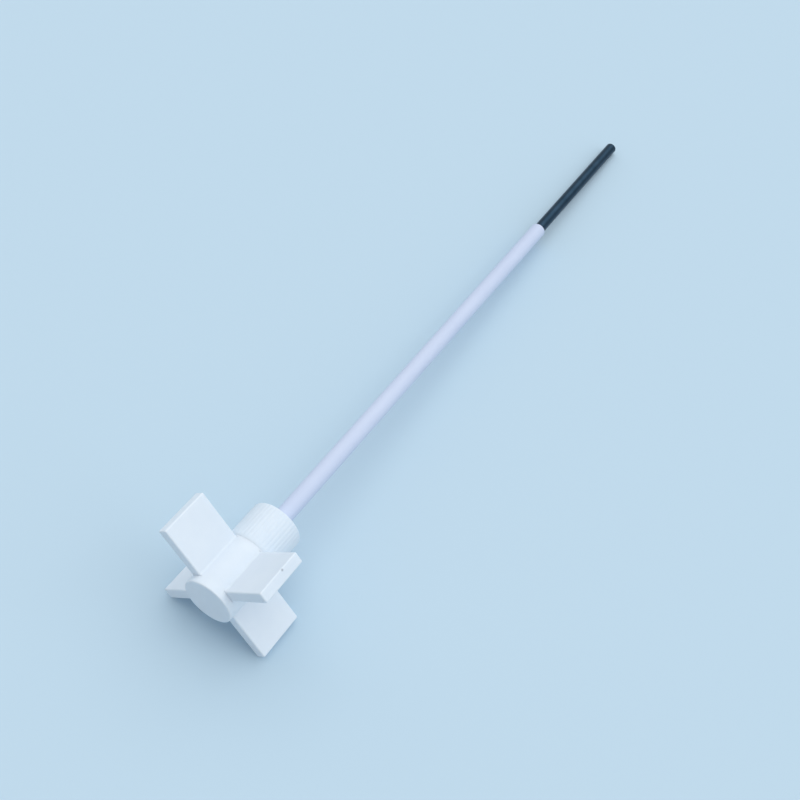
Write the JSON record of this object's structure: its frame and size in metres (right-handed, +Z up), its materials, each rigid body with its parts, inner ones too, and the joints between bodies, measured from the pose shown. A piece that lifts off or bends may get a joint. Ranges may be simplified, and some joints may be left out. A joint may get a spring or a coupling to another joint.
{
  "type": "ptfe stirrer shaft",
  "caption": "Laboratory overhead stirrer shaft: steel rod in a white plastic sleeve, with a straight-bladed paddle impeller held by a knurled lock nut.",
  "frame": {"origin": "on the surface that the shaft lies on, under the middle of its length", "axes": "+X runs along the shaft as seen from above, from the impeller to the bare steel end; +Z up; the shaft's own axis slopes down towards +X by 3.8 degrees"},
  "size_m": [0.376, 0.0526, 0.054],
  "materials": {
    "machined_ptfe": "machined, matte with a waxy sheen",
    "sleeve_ptfe": "matte extruded tube",
    "rod_steel": "drawn and ground, dull"
  },
  "bodies": {
    "shaft": {"core_rod": "rod_steel", "shaft_sleeve": "sleeve_ptfe", "impeller": "machined_ptfe"},
    "nut": {"lock_nut": "machined_ptfe"}
  },
  "joints": [
    {"name": "nut_turn", "type": "hinge", "parent": "shaft", "child": "nut", "pos_m": [-0.15065, 0, 0.02553], "axis": [0.9978, 0, -0.0666], "range_deg": [0, 360]}
  ]
}
